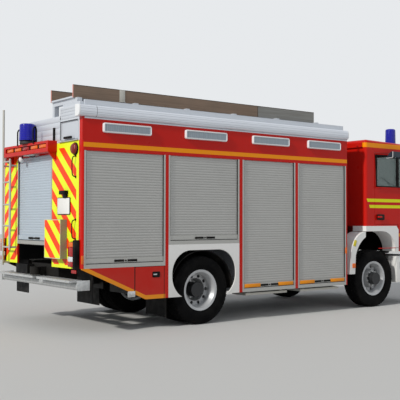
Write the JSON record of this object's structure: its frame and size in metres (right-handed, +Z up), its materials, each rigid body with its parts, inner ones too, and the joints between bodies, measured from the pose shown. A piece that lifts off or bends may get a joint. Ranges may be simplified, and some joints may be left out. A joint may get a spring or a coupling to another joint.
{
  "type": "heavy rescue truck",
  "caption": "Two-axle heavy rescue truck with a tilting cab, roller-shutter equipment bays, roof tray, side awning, rear ladder and a light mast.",
  "frame": {"origin": "ground level under the middle of the truck", "axes": "+X forward, +Y to the driver's left, +Z up"},
  "size_m": [7.515, 2.88, 3.3399],
  "materials": {
    "red_paint": "gloss",
    "white_paint": "gloss",
    "chassis_black": "satin",
    "dark_iron": "matte",
    "tank_grey": "satin",
    "black_plastic": "matte",
    "floor_aluminium": "satin",
    "wall_aluminium": "satin",
    "roof_aluminium": "satin",
    "guide_aluminium": "satin",
    "awning_aluminium": "satin",
    "slat_aluminium": "satin",
    "lamp_grey": "gloss",
    "tray_brown": "matte",
    "mast_grey": "satin",
    "cab_glass": "gloss",
    "seat_fabric": "matte",
    "tyre": "matte",
    "rim_silver": "satin"
  },
  "bodies": {
    "chassis": {"awning": "awning_aluminium", "axle_beams": "dark_iron", "body_floors": "floor_aluminium", "body_lamps": "lamp_grey", "body_partitions": "wall_aluminium", "body_roof": "roof_aluminium", "bumpers": "white_paint", "chassis_frame": "chassis_black", "curtain_left_1": "slat_aluminium", "curtain_left_2": "slat_aluminium", "curtain_left_3": "slat_aluminium", "curtain_left_4": "slat_aluminium", "curtain_rear": "slat_aluminium", "curtain_right_1": "slat_aluminium", "curtain_right_2": "slat_aluminium", "curtain_right_3": "slat_aluminium", "curtain_right_4": "slat_aluminium", "driveline": "dark_iron", "ladder_and_steps": "guide_aluminium", "leaf_springs": "dark_iron", "lower_panels": "red_paint", "mast_column": "mast_grey", "mudguards": "white_paint", "rear_panels": "red_paint", "roof_tray": "tray_brown", "shutter_guides": "guide_aluminium", "side_frames": "red_paint", "side_tanks": "tank_grey", "warning_bar": "red_paint"},
    "cab": {"cab_shell": "red_paint", "windscreen": "cab_glass", "cab_fenders": "white_paint", "cab_interior": "seat_fabric", "cab_fittings": "black_plastic"},
    "door_right": {"cab_door_right": "red_paint"},
    "door_left": {"cab_door_left": "red_paint"},
    "hatch": {"rear_hatch": "wall_aluminium"},
    "flap_right": {"locker_flap_right": "red_paint"},
    "flap_left": {"locker_flap_left": "red_paint"},
    "mast_middle": {"mast_stage": "mast_grey"},
    "mast_top": {"mast_head": "mast_grey"},
    "steering_right": {"knuckle_right": "dark_iron"},
    "steering_left": {"knuckle_left": "dark_iron"},
    "shutter_right_1": {"shutter_bar_right_1": "guide_aluminium"},
    "shutter_right_2": {"shutter_bar_right_2": "guide_aluminium"},
    "shutter_right_3": {"shutter_bar_right_3": "guide_aluminium"},
    "shutter_right_4": {"shutter_bar_right_4": "guide_aluminium"},
    "shutter_left_1": {"shutter_bar_left_1": "guide_aluminium"},
    "shutter_left_2": {"shutter_bar_left_2": "guide_aluminium"},
    "shutter_left_3": {"shutter_bar_left_3": "guide_aluminium"},
    "shutter_left_4": {"shutter_bar_left_4": "guide_aluminium"},
    "shutter_rear": {"shutter_bar_rear": "guide_aluminium"},
    "wheel_front_right": {"tyre_front_right": "tyre", "rim_front_right": "rim_silver"},
    "wheel_front_left": {"tyre_front_left": "tyre", "rim_front_left": "rim_silver"},
    "wheel_rear_right": {"tyre_rear_right": "tyre", "rim_rear_right": "rim_silver"},
    "wheel_rear_left": {"tyre_rear_left": "tyre", "rim_rear_left": "rim_silver"}
  },
  "joints": [
    {"name": "cab_tilt", "type": "hinge", "parent": "chassis", "child": "cab", "pos_m": [3.6575, 0, 0.93], "axis": [0, 1, 0], "range_deg": [0, 55]},
    {"name": "door_right_hinge", "type": "hinge", "parent": "cab", "child": "door_right", "pos_m": [3.2675, -1.2313, 1.325], "axis": [0, 0, 1], "range_deg": [0, 75]},
    {"name": "door_left_hinge", "type": "hinge", "parent": "cab", "child": "door_left", "pos_m": [3.2675, 1.2313, 1.325], "axis": [0, 0, -1], "range_deg": [0, 75]},
    {"name": "hatch_hinge", "type": "hinge", "parent": "chassis", "child": "hatch", "pos_m": [-3.5345, -0.899, 2.858], "axis": [0, 1, 0], "range_deg": [0, 85]},
    {"name": "flap_right_hinge", "type": "hinge", "parent": "chassis", "child": "flap_right", "pos_m": [-2.3825, -1.243, 0.437], "axis": [1, 0, 0], "range_deg": [0, 90]},
    {"name": "flap_left_hinge", "type": "hinge", "parent": "chassis", "child": "flap_left", "pos_m": [-2.3825, 1.243, 0.437], "axis": [-1, 0, 0], "range_deg": [0, 90]},
    {"name": "mast_lower_lift", "type": "slide", "parent": "chassis", "child": "mast_middle", "axis": [0, 0, 1], "range_m": [0, 1.5]},
    {"name": "mast_upper_lift", "type": "slide", "parent": "mast_middle", "child": "mast_top", "axis": [0, 0, 1], "range_m": [0, 1.5]},
    {"name": "shutter_right_1_lift", "type": "slide", "parent": "chassis", "child": "shutter_right_1", "axis": [0, 0, 1], "range_m": [0, 1.4147], "deforming": ["curtain_right_1"]},
    {"name": "shutter_right_2_lift", "type": "slide", "parent": "chassis", "child": "shutter_right_2", "axis": [0, 0, 1], "range_m": [0, 1.1247], "deforming": ["curtain_right_2"]},
    {"name": "shutter_right_3_lift", "type": "slide", "parent": "chassis", "child": "shutter_right_3", "axis": [0, 0, 1], "range_m": [0, 1.8697], "deforming": ["curtain_right_3"]},
    {"name": "shutter_right_4_lift", "type": "slide", "parent": "chassis", "child": "shutter_right_4", "axis": [0, 0, 1], "range_m": [0, 1.8697], "deforming": ["curtain_right_4"]},
    {"name": "shutter_left_1_lift", "type": "slide", "parent": "chassis", "child": "shutter_left_1", "axis": [0, 0, 1], "range_m": [0, 1.4147], "deforming": ["curtain_left_1"]},
    {"name": "shutter_left_2_lift", "type": "slide", "parent": "chassis", "child": "shutter_left_2", "axis": [0, 0, 1], "range_m": [0, 1.1247], "deforming": ["curtain_left_2"]},
    {"name": "shutter_left_3_lift", "type": "slide", "parent": "chassis", "child": "shutter_left_3", "axis": [0, 0, 1], "range_m": [0, 1.8697], "deforming": ["curtain_left_3"]},
    {"name": "shutter_left_4_lift", "type": "slide", "parent": "chassis", "child": "shutter_left_4", "axis": [0, 0, 1], "range_m": [0, 1.8697], "deforming": ["curtain_left_4"]},
    {"name": "shutter_rear_lift", "type": "slide", "parent": "chassis", "child": "shutter_rear", "axis": [0, 0, 1], "range_m": [0, 1.1347], "deforming": ["curtain_rear"]},
    {"name": "steer_right", "type": "hinge", "parent": "chassis", "child": "steering_right", "pos_m": [2.3025, -0.995, 0.5], "axis": [0, 0, 1], "range_deg": [-40, 40]},
    {"name": "steer_left", "type": "hinge", "parent": "chassis", "child": "steering_left", "pos_m": [2.3025, 0.995, 0.5], "axis": [0, 0, 1], "range_deg": [-40, 40]},
    {"name": "roll_front_right", "type": "hinge", "parent": "steering_right", "child": "wheel_front_right", "pos_m": [2.3025, -1.055, 0.5], "axis": [0, 1, 0], "continuous": true},
    {"name": "roll_front_left", "type": "hinge", "parent": "steering_left", "child": "wheel_front_left", "pos_m": [2.3025, 1.055, 0.5], "axis": [0, 1, 0], "continuous": true},
    {"name": "roll_rear_right", "type": "hinge", "parent": "chassis", "child": "wheel_rear_right", "pos_m": [-1.5375, -0.905, 0.5], "axis": [0, 1, 0], "continuous": true},
    {"name": "roll_rear_left", "type": "hinge", "parent": "chassis", "child": "wheel_rear_left", "pos_m": [-1.5375, 0.905, 0.5], "axis": [0, 1, 0], "continuous": true}
  ],
  "couplings": [
    {"joint": "steer_left", "follows": "steer_right", "ratio": 1}
  ]
}
